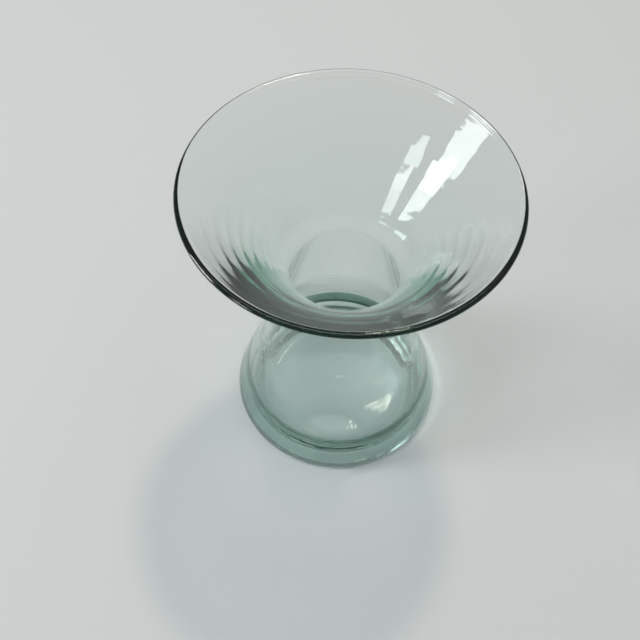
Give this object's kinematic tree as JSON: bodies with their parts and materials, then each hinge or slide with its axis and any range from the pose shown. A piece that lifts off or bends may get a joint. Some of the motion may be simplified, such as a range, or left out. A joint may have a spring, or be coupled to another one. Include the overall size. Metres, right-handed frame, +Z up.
{
  "type": "glass vase",
  "caption": "Free-standing glass vase: a wide funnel bowl over a pinched open throat and a bell-shaped hollow foot with a closed floor.",
  "frame": {"origin": "centre of the foot, on the surface that the vase stands on", "axes": "+Z up along the vase's axis, through the open bowl"},
  "size_m": [0.15, 0.15, 0.176],
  "materials": {
    "glass": "clear pale sea-green, fire-polished"
  },
  "bodies": {
    "root": {"glass_vase": "glass"}
  },
  "joints": []
}
